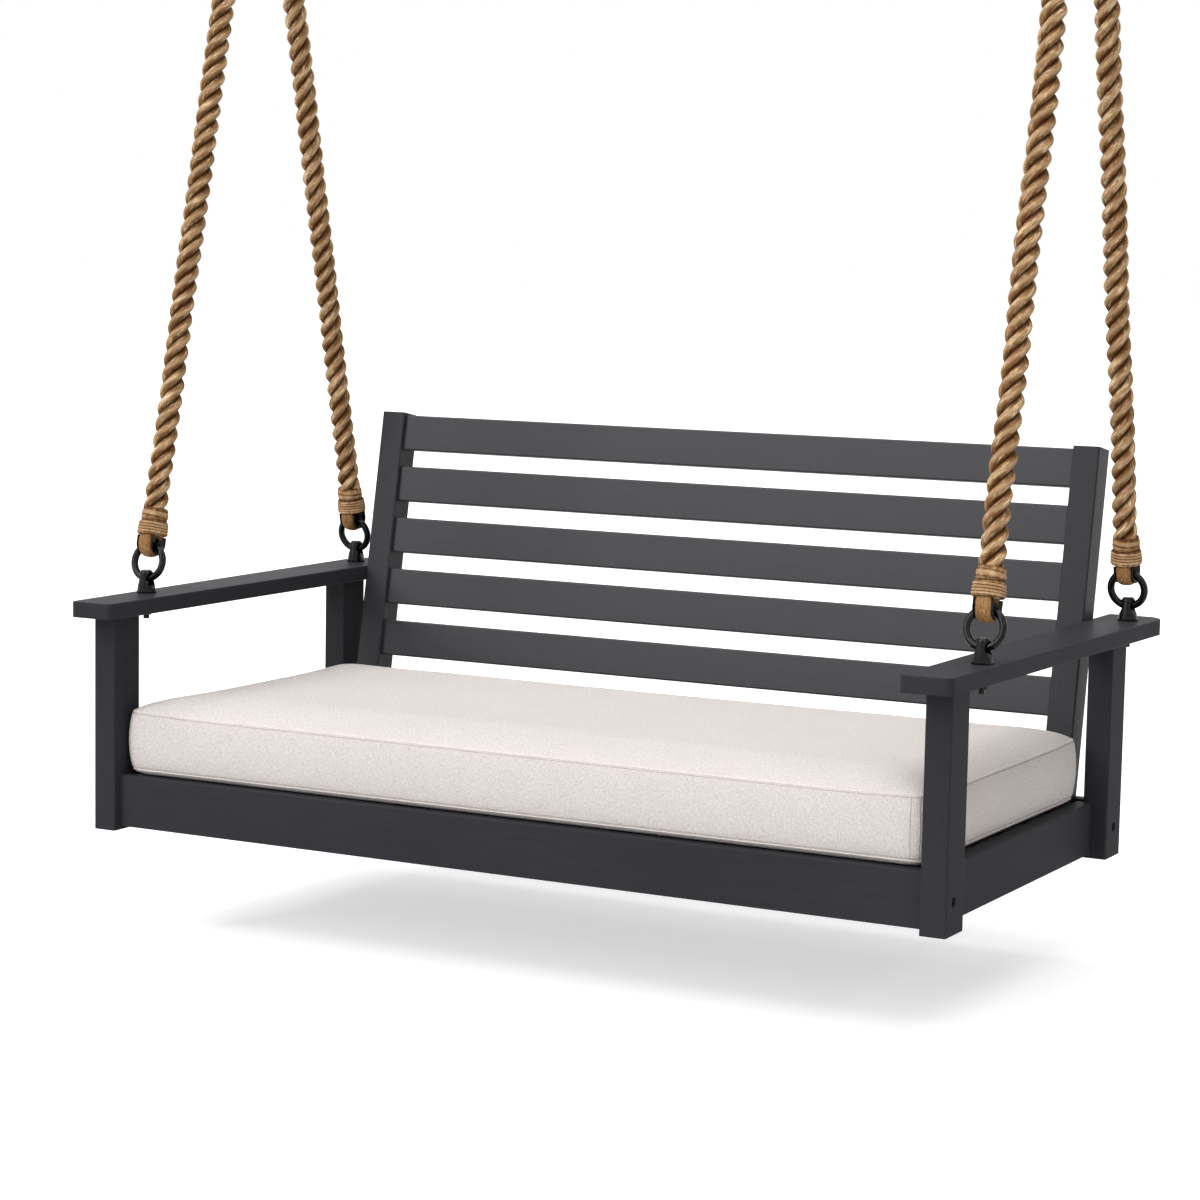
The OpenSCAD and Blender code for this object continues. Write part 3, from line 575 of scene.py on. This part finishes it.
def ropeLoop(name, frameAxes):
    # a flattened strand bundle carried along a U: straight legs that close in towards the splice, round a
    # half circle
    look = loopLook
    origin, across, plane, away = frameAxes
    t = np.linspace(-1, 1, look["steps"])
    legs = np.clip((np.abs(t) - look["bendShare"]) / (1 - look["bendShare"]), 0, 1)
    turn = np.clip(t / look["bendShare"], -1, 1) * math.pi / 2
    a = look["bend"] * np.sin(turn) * (1 - look["closing"] * legs ** look["closingPower"])
    b = -look["bend"] * np.cos(turn) + legs * look["legLength"]
    step = np.gradient(np.stack([a, b], axis=1), axis=0)
    step /= np.linalg.norm(step, axis=1)[:, None]
    phi = np.linspace(0, 2 * math.pi, look["around"], endpoint=False)
    lay = 1 + look["swell"] * np.cos(3 * (phi[None, :] - t[:, None] * look["twist"]))
    wide = look["wide"] * lay * np.sign(np.cos(phi)) * np.abs(np.cos(phi)) ** look["squareness"]
    thin = look["thin"] * lay * np.sin(phi)
    points = (origin + wide[..., None] * across
              + (a[:, None] - thin * step[:, 1:2])[..., None] * plane
              + (b[:, None] + thin * step[:, 0:1])[..., None] * away)
    around = np.linspace(0, 1, look["around"] + 1)
    return gridMesh(name, points, gridCoordinates(around, t[:, None] * look["uvLength"]))


whippingLook = {
    # height from, height to, radius, turns, how far a turn stands out
    "bands": [(0.0135, 0.0370, 0.0240, 5, 0.0020), (0.0378, 0.0590, 0.0212, 2, 0.0018)],
    # radius and height of the rings that lead into the first band and out of the last
    "inward": [(0.0105, 0.020), (0.0150, 0.0155), (0.0195, 0.0138)],
    "outward": [(0.0172, 0.0588), (0.0135, 0.0575)],
    "around": 72, "perTurn": 9, "taper": 0.06, "dip": 0.4, "fullness": 2.6, "steepness": 0.6,
    "endPace": 1.4, "endPower": 0.5, "slack": 0.02, "slackWaves": 3, "slackSpin": 9, "slackUp": 400,
    "spin": (0.13, 0.31),  # how far the twine starts turned, for its side and its place in the pair
}


def whipping(name, frameAxes, spin):
    # twine wound in a helix: the radius swells once a turn by (1 - |2 phase - 1| ^ fullness) ^ steepness,
    # and the bands step in towards the rope; the attribute crown is that swell, and it is 0 at a band's end
    look = whippingLook
    origin, across, plane, away = frameAxes
    theta = np.linspace(0, 2 * math.pi, look["around"], endpoint=False)

    def plainRings(pairs):
        return np.array([gridCoordinates([[r]], np.full((1, len(theta)), z))[0] for r, z in pairs])

    rows, crowns = [], []
    for low, high, radius, turns, swell in look["bands"]:
        t = np.linspace(0, 1, turns * look["perTurn"] + 1)[:, None]
        phase = (t * turns + theta[None, :] / (2 * math.pi) + spin) % 1.0
        crown = np.clip(1 - np.abs(2 * phase - 1) ** look["fullness"], 0, 1) ** look["steepness"]
        ends = np.clip(np.minimum(t, 1 - t) * turns * look["endPace"], 0, 1) ** look["endPower"]
        slackTurn = look["slackWaves"] * theta + spin * look["slackSpin"] + low * look["slackUp"]
        slack = 1 + look["slack"] * np.sin(slackTurn)[None, :]
        wound = radius * (1 - look["taper"] * t) * slack + swell * (crown * ends - look["dip"] * (1 - ends))
        rows.append(gridCoordinates(wound, low + (high - low) * t))
        crowns.append(crown * ends)
    shape = np.concatenate([plainRings(look["inward"]), *rows, plainRings(look["outward"])])
    radius, height = shape[..., 0:1], shape[..., 1:2]
    outwards = np.cos(theta)[None, :, None] * across + np.sin(theta)[None, :, None] * plane
    v = np.concatenate([height[..., 0], height[:, :1, 0]], axis=1)
    uv = gridCoordinates(np.linspace(0, 1, len(theta) + 1), v)
    mesh = gridMesh(name, origin + radius * outwards + height * away, uv)
    before, after = len(capShares) + len(look["inward"]), len(capShares) + len(look["outward"])
    crown = np.pad(np.concatenate(crowns), ((before, after), (0, 0)))
    value = mesh.attributes.new("crown", "FLOAT", "POINT")
    value.data.foreach_set("value", crown.ravel().astype(np.float32))
    return mesh


def addRope(side, back, sideName, backName):
    # one rope with its two loops and their whippings
    node, body = f"rope_{backName}_{sideName}", f"{sideName}_ropes"
    place = backName.capitalize() + sideName.capitalize()
    mesh, path, length = laidRope("rope" + place, side, back)
    rope = addPiece("rope" + place, mesh, body, finishes["rope"], [node])
    spinSide, spinBack = whippingLook["spin"]
    extras = []
    for endName, upper in (("Lower", False), ("Upper", True)):
        axes = loopFrame(side, back, upper)
        name = f"loop{endName}{place}"
        loop = addPiece(name, ropeLoop(name, axes), body, finishes["loop"], [node])
        name = f"whipping{endName}{place}"
        mesh = whipping(name, axes, spinSide * side + spinBack * back)
        twine = addPiece(name, mesh, body, finishes["twine"], [f"whippings_{sideName}"])
        extras += [loop, twine]
    print("rope made", place, "length", round(length, 3))


for sideName, side in (("left", -1), ("right", 1)):
    for backName, back in (("front", -1), ("rear", 1)):
        addRope(side, back, sideName, backName)

# frame: painted wood, eased at its corners
grainOf = {
    "x": ["front_rail", "rear_rail", *[f"seat_slat_{k}" for k in range(1, 7)]],
    "slat": [f"back_slat_{k}" for k in range(1, 6)],
    "y": ["left_side_rail", "right_side_rail", "left_armrest", "right_armrest",
          "left_seat_bearer", "right_seat_bearer", "left_seat_cleat", "right_seat_cleat"],
    "z": ["front_left_post", "front_right_post", "rear_left_post", "rear_right_post"],
    "slope": ["left_stile", "right_stile"],
}
for grain, nodes in grainOf.items():
    for node in nodes:
        dressed(node, finishes[grain])
print("wooden pieces dressed")

# hardware
hardwareLook = {"smoothAngle": 44.0, "blackEase": 0.0005, "zincEase": 0.0004}
blackHardware = [
    "lug_front_left", "lug_front_right", "lug_rear_left", "lug_rear_right", "lug_washers", "lug_nuts",
    "rail_bolts", "arm_bolts", "stile_screws", "rings_left", "rings_right", "thimbles_left", "thimbles_right",
    "ceiling_bracket_left", "ceiling_bracket_right", "hanger_link_left", "hanger_link_right",
]
zincHardware = ["hanger_pin_left", "hanger_pin_right", "rail_barrel_nuts", "seat_slat_screws", "cleat_screws"]
for node in blackHardware:
    dressed(node, finishes["metal"], hardwareLook["blackEase"], hardwareLook["smoothAngle"])
for node in zincHardware:
    dressed(node, finishes["zinc"], hardwareLook["zincEase"], hardwareLook["smoothAngle"])
for node in ("side_rail_dowels", "arm_dowels", "back_slat_dowels"):
    dressed(node, finishes["dowel"], ease=0)
print("hardware dressed")

# cushion: a boxed cover over a soft core
cushionLook = {
    "around": 360, "corner": 0.020, "press": 0.0015, "deeper": 0.004, "tuck": 0.0085, "seamUp": 0.104,
    "bulge": 0.0050, "bulgePower": 0.8, "sideRows": 17, "crown": 0.0215, "roll": 0.085,
    "ear": 0.0030, "earReach": 0.085,
    # rows of the shell by how far in they lie; those of the tucked edge also say how far up
    "underInsets": (0.25, 0.15, 0.06, 0.02),
    "tuckRows": [(0.0120, 0.0006), (0.0065, 0.0028), (0.0025, 0.0056)],
    "topInsets": (0.002, 0.005, 0.009, 0.014, 0.020, 0.028, 0.038, 0.05, 0.065, 0.08,
                  0.10, 0.13, 0.16, 0.20, 0.25),
    "voxel": 0.0060, "settleShare": 0.5, "settleTimes": 3,
    # what is held still: a band along the upper seam, and all that lies low or faces down
    "heldUp": 0.005, "heldIn": 0.006, "heldLow": 0.002, "facingDown": -0.8,
    "facingUp": 0.5, "puffTop": 0.0040, "puffSide": 0.0020,
    "crease": 0.0012, "creaseUpper": 0.0045, "creaseLower": 0.004, "creaseIn": 0.02, "flatFrom": 0.62,
}
clothLook = {
    "frames": 20, "quality": 6, "mass": 0.25, "tension": 10, "shear": 5, "bending": 0.8, "pressure": 4.0,
}


def roundedOutline(halfWide, halfDeep, corner, count):
    # a rectangle with round corners, walked at even steps from the middle of its right side
    quarter = corner * math.pi / 2
    wide, deep = 2 * (halfWide - corner), 2 * (halfDeep - corner)
    stretch = [halfDeep - corner, quarter, wide, quarter, deep, quarter, wide, quarter, halfDeep - corner]
    s = np.linspace(0, sum(stretch), count, endpoint=False)
    place, heading, points, begin = np.array([halfWide, 0.0]), math.pi / 2, np.zeros((count, 2)), 0.0
    for k, long in enumerate(stretch):
        on = (s >= begin) & (s < begin + long)
        along = s[on] - begin
        if k % 2 == 0:
            ahead = np.array([math.cos(heading), math.sin(heading)])
            points[on] = place + along[:, None] * ahead
            place = place + long * ahead
        else:
            hub = place + corner * np.array([-math.sin(heading), math.cos(heading)])
            turned = heading + along / corner
            points[on] = hub + corner * np.stack([np.sin(turned), -np.cos(turned)], axis=1)
            heading += math.pi / 2
            place = hub + corner * np.array([math.sin(heading), -math.cos(heading)])
        begin += long
    return points


def cushionFrame(lo, hi):
    # the middle of the cushion's plan, and the half sizes of its seams
    look = cushionLook
    middle = (lo[:2] + hi[:2]) / 2
    return middle, (hi[0] - lo[0]) / 2 + look["press"], (hi[1] - lo[1]) / 2 - look["bulge"] + look["deeper"]


def cornerLift(points, middle, wide, deep):
    # a bell curve of the distance to the nearest corner of the plan: 1 at the corner, 0.37 at earReach
    away = np.hypot(wide - np.abs(points[..., 0] - middle[0]), deep - np.abs(points[..., 1] - middle[1]))
    return np.exp(-(away / cushionLook["earReach"]) ** 2)


def cushionShell(lo, hi):
    # underside, a tucked lower edge, sides that swell by a sine between the seams, and a top that rises
    # steeply from its seam and levels out: rise = crown * (1 - (1 - inset / roll) ^ 2)
    look = cushionLook
    middle, wide, deep = cushionFrame(lo, hi)
    outline = roundedOutline(wide, deep, look["corner"], look["around"])

    def side(t):
        out = look["bulge"] * math.sin(math.pi * t) ** look["bulgePower"]
        return -out, look["tuck"] + (look["seamUp"] - look["tuck"]) * t

    def top(inset):
        return inset, look["seamUp"] + look["crown"] * (1 - max(0.0, 1 - inset / look["roll"]) ** 2)

    rows = [(inset, 0.0) for inset in look["underInsets"]] + look["tuckRows"]
    rows += [side(t) for t in np.linspace(0, 1, look["sideRows"])]
    rows += [top(inset) for inset in look["topInsets"]]
    shell = []
    for inset, up in rows:
        ring = outline * np.array([1 - inset / wide, 1 - inset / deep]) + middle
        share = min(1.0, max(0.0, up / look["seamUp"])) ** 2
        lift = cornerLift(ring, middle, wide, deep) * look["ear"] * share
        shell.append(np.concatenate([ring, (lo[2] + up + lift)[:, None]], axis=1))
    shell = np.array(shell)
    return gridMesh("cushionShell", shell, np.zeros((len(shell), look["around"] + 1, 2)))


def readPoints(mesh, kind="co"):
    # the places of a mesh's points, or their normals, in rows of three
    found = np.zeros(len(mesh.vertices) * 3)
    mesh.vertices.foreach_get(kind, found)
    return found.reshape(-1, 3)


def evenCopy(piece, look):
    # the shell cut into small even faces, as the cloth needs them
    remesh = piece.modifiers.new("Even", "REMESH")
    remesh.mode, remesh.voxel_size, remesh.use_smooth_shade = "VOXEL", look["voxel"], True
    settle = piece.modifiers.new("Settle", "SMOOTH")
    settle.factor, settle.iterations = look["settleShare"], look["settleTimes"]
    even = bpy.data.meshes.new_from_object(piece.evaluated_get(bpy.context.evaluated_depsgraph_get()))
    piece.modifiers.clear()
    piece.data = even
    return even


def blownUp(piece, group):
    # where the cloth's points come to rest under inner pressure, with the group held still
    look = clothLook
    fill = piece.modifiers.new("Fill", "CLOTH")
    cloth = fill.settings
    cloth.quality, cloth.mass = look["quality"], look["mass"]
    cloth.tension_stiffness = cloth.compression_stiffness = look["tension"]
    cloth.shear_stiffness, cloth.bending_stiffness = look["shear"], look["bending"]
    cloth.use_pressure, cloth.uniform_pressure_force = True, look["pressure"]
    cloth.vertex_group_mass = group
    cloth.effector_weights.gravity = 0
    fill.point_cache.frame_start, fill.point_cache.frame_end = 1, look["frames"]
    for step in range(1, look["frames"] + 1):
        scene.frame_set(step)
    swollen = piece.evaluated_get(bpy.context.evaluated_depsgraph_get())
    moved = readPoints(swollen.to_mesh())
    swollen.to_mesh_clear()
    piece.modifiers.clear()
    scene.frame_set(1)
    return moved


def puffUp(piece, lo, hi):
    # cloth under inner pressure, held along the upper seam and underneath; a move of length m becomes
    # limit * tanh(m / limit), and both seams are drawn in by a narrow bell curve of the height above them
    look = cushionLook
    even = evenCopy(piece, look)
    rest, normal = readPoints(even), readPoints(even, "normal")
    middle, wide, deep = cushionFrame(lo, hi)
    inset = np.minimum(wide - np.abs(rest[:, 0] - middle[0]), deep - np.abs(rest[:, 1] - middle[1]))
    up = rest[:, 2] - lo[2] - cornerLift(rest, middle, wide, deep) * look["ear"]
    seamed = (np.abs(up - look["seamUp"]) < look["heldUp"]) & (inset < look["heldIn"])
    under = (up < look["tuck"] + look["heldLow"]) | (normal[:, 2] < look["facingDown"])
    held = piece.vertex_groups.new(name="held")
    held.add(np.flatnonzero(seamed | under).tolist(), 1.0, "REPLACE")
    moved = blownUp(piece, "held")
    shift = moved - rest
    far = np.linalg.norm(shift, axis=1)
    limit = np.where(normal[:, 2] > look["facingUp"], look["puffTop"], look["puffSide"])
    shift *= (limit * np.tanh(far / limit) / np.maximum(far, 1e-9))[:, None]
    upper = np.exp(-((up - look["seamUp"]) / look["creaseUpper"]) ** 2) * (inset < look["creaseIn"])
    lower = np.exp(-((up - look["tuck"]) / look["creaseLower"]) ** 2)
    shift -= normal * (look["crease"] * (upper + lower))[:, None]
    print("cushion points", len(rest), "moved up to", round(float(far.max()), 4))
    even.vertices.foreach_set("co", (rest + shift).reshape(-1))
    even.polygons.foreach_set("use_smooth", [True] * len(even.polygons))
    even.update()
    piece.vertex_groups.clear()


def weaveCoordinates(mesh):
    # u and v are metres on the face: seen from above on the top, from the front or the side on the boxing
    index = np.zeros(len(mesh.loops), dtype=np.int32)
    mesh.loops.foreach_get("vertex_index", index)
    points = readPoints(mesh)[index]
    normal = np.zeros(len(mesh.polygons) * 3)
    mesh.polygons.foreach_get("normal", normal)
    sizes = np.zeros(len(mesh.polygons), dtype=np.int32)
    mesh.polygons.foreach_get("loop_total", sizes)
    normal = np.abs(np.repeat(normal.reshape(-1, 3), sizes, axis=0))
    flat = normal[:, 2] > cushionLook["flatFrom"]
    sideways = (normal[:, 0] > normal[:, 1]) & ~flat
    boxing = np.where(sideways[:, None], points[:, [1, 2]], points[:, [0, 2]])
    uv = np.where(flat[:, None], points[:, :2], boxing)
    layer = mesh.uv_layers[0] if mesh.uv_layers else mesh.uv_layers.new(name="UVMap")
    layer.data.foreach_set("uv", uv.reshape(-1).astype(np.float32))


seamLook = {
    "welt": 0.0014, "lowerWelt": 0.8, "stitch": 0.0005, "stitchGap": 0.0050, "around": 8, "points": 720,
    "proud": 0.3,  # how far a seam's middle stands off the cloth, against its radius
    "steepFrom": 0.8, "standPoints": 30, "standOver": 0.003, "standOut": 0.004,
    # upright seams of the boxing: how far in from its end, and on which side
    "stands": {"FrontRight": (0.020, 1), "FrontRightCorner": (0.004, 1), "RearLeft": (0.020, -1)},
}


def seamLine(name, line, closed, radius):
    # a thin round cord carried along a line of points; its section stays square to the line
    look = seamLook
    step = np.roll(line, -1, axis=0) - np.roll(line, 1, axis=0) if closed else np.gradient(line, axis=0)
    step /= np.linalg.norm(step, axis=1)[:, None]
    steep = np.abs(step[:, 2:3]) > look["steepFrom"]
    sideways = np.cross(step, np.where(steep, np.array([[1.0, 0, 0]]), np.array([[0, 0, 1.0]])))
    sideways /= np.linalg.norm(sideways, axis=1)[:, None]
    upward = np.cross(sideways, step)
    phi = np.linspace(0, 2 * math.pi, look["around"], endpoint=False)[None, :, None]
    section = np.cos(phi) * sideways[:, None, :] + np.sin(phi) * upward[:, None, :]
    points = line[:, None, :] + radius * section
    if closed:
        points = np.concatenate([points, points[:1]])
    length = np.concatenate([[0], np.cumsum(np.linalg.norm(np.diff(points[:, 0], axis=0), axis=1))])
    around = np.linspace(0, 2 * math.pi * radius, look["around"] + 1)
    return gridMesh(name, points, gridCoordinates(length[:, None], around))


def addSeams(piece, lo, hi):
    # seams are laid onto the filled cover: each wanted point moves to the nearest point of the cloth
    form, look = cushionLook, seamLook
    middle, wide, deep = cushionFrame(lo, hi)
    faces = [face.vertices[:] for face in piece.data.polygons]
    cloth = BVHTree.FromPolygons(readPoints(piece.data).tolist(), faces)

    def addSeam(name, points, closed, radius, finish):
        out = radius * look["proud"]
        nearest = [cloth.find_nearest(p) for p in points.tolist()]
        line = np.array([np.array(spot) + np.array(face) * out for spot, face, _, _ in nearest])
        mesh = seamLine(name, line, closed, radius)
        addPiece(name, mesh, "bench", finishes[finish], ["cushion"])

    outline = roundedOutline(wide, deep, form["corner"], look["points"])
    for name, up, radius, finish in (
        ("seamUpper", form["seamUp"], look["welt"], "welt"),
        ("stitchUpper", form["seamUp"] - look["stitchGap"], look["stitch"], "stitch"),
        ("seamLower", form["tuck"], look["welt"] * look["lowerWelt"], "welt"),
        ("stitchLower", form["tuck"] + look["stitchGap"], look["stitch"], "stitch"),
    ):
        ring = np.concatenate([outline + middle, np.full((len(outline), 1), lo[2] + up)], axis=1)
        ring[:, 2] += cornerLift(ring, middle, wide, deep) * form["ear"] * (up / form["seamUp"]) ** 2
        addSeam(name, ring, True, radius, finish)
    count = look["standPoints"]
    climb = np.linspace(form["tuck"], form["seamUp"] + look["standOver"], count)
    for name, (inset, side) in look["stands"].items():
        x = middle[0] + side * (wide - inset)
        y = middle[1] - side * (deep + look["standOut"])
        stand = np.stack([np.full(count, x), np.full(count, y), lo[2] + climb], axis=1)
        addSeam("stitch" + name, stand, False, look["stitch"], "stitch")


lo, hi = (np.array(v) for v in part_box("cushion"))
shell = cushionShell(lo, hi)
cushion = addPiece("cushionCover", shell, "bench", finishes["linen"], ["cushion"])
puffUp(cushion, lo, hi)
cushion.data.materials.clear()
cushion.data.materials.append(finishes["linen"])
weaveCoordinates(cushion.data)
addSeams(cushion, lo, hi)
print("cushion filled and seamed")

# floor, background and light
white = (1, 1, 1, 1)
studio = {
    "floorZ": -2.02, "floorReach": 60.0, "floorTone": 0.80, "glow": 0.59, "mirrorGlow": 0.04, "world": 0.25,
    # strength, breadth, heading and height, the last three in degrees
    "suns": {
        "topSoft": (2.40, 75, -20, 78), "frontSoft": (0.92, 28, -27, 26),
        "sparkLeft": (0.36, 6, -44, 38), "sparkRight": (0.16, 6, 62, 34),
    },
}


def floorFinish():
    # a pale floor that keeps the shadow; its own glow brings it up to white for the camera, so that it
    # meets the background without an edge, and only a little of that glow shows in reflections
    tone = studio["floorTone"]
    f = Finish("floorWhite", {"Roughness": 1.0, "Specular IOR Level": 0.0, "Emission Color": white,
                              "Base Color": (tone, tone, tone, 1)})
    seen, mirrored, through = f.rays("Camera", "Glossy", "Transmission")
    glow = seen.largest(through) * studio["glow"] + mirrored * studio["mirrorGlow"]
    return f.feed({"Emission Strength": glow})


def addFloor():
    # one wide square below the bench, which belongs to the stage and not to the part
    mesh = bpy.data.meshes.new("floor")
    reach, z = studio["floorReach"], studio["floorZ"]
    corners = [(-reach, -reach, z), (reach, -reach, z), (reach, reach, z), (-reach, reach, z)]
    mesh.from_pydata(corners, [], [(0, 1, 2, 3)])
    floor = bpy.data.objects.new("floor", mesh)
    scene.collection.objects.link(floor)
    mesh.materials.append(floorFinish())


def addSun(name, strength, breadth, heading, height):
    # heading is where it shines from, turned from the front; height is its angle above the floor
    sun = bpy.data.lights.new(name, "SUN")
    sun.energy, sun.angle = strength, math.radians(breadth)
    lamp = bpy.data.objects.new(name, sun)
    h, v = math.radians(heading), math.radians(height)
    z = np.array([math.sin(h) * math.cos(v), -math.cos(h) * math.cos(v), math.sin(v)])
    x = np.cross([0.0, 0.0, 1.0], z)
    x /= np.linalg.norm(x)
    lamp.matrix_world = Matrix([[*row] for row in np.stack([x, np.cross(z, x), z], axis=1)]).to_4x4()
    scene.collection.objects.link(lamp)


def addWorld():
    # full white for the camera, in reflections and through clear things, and a dim even light on all else
    world = bpy.data.worlds.new("paleRoom")
    world.use_nodes = True
    scene.world = world
    room = NodeTree(world.node_tree)
    seen, mirrored, through = room.rays("Camera", "Glossy", "Transmission")
    strength = seen.largest(mirrored).largest(through) * (1.0 - studio["world"]) + studio["world"]
    back = room.tree.nodes["Background"]
    back.inputs["Color"].default_value = white
    room.tree.links.new(strength.socket, back.inputs["Strength"])


addFloor()
addWorld()
for name, values in studio["suns"].items():
    addSun(name, *values)
scene.view_settings.view_transform = "Standard"
print("studio lit")
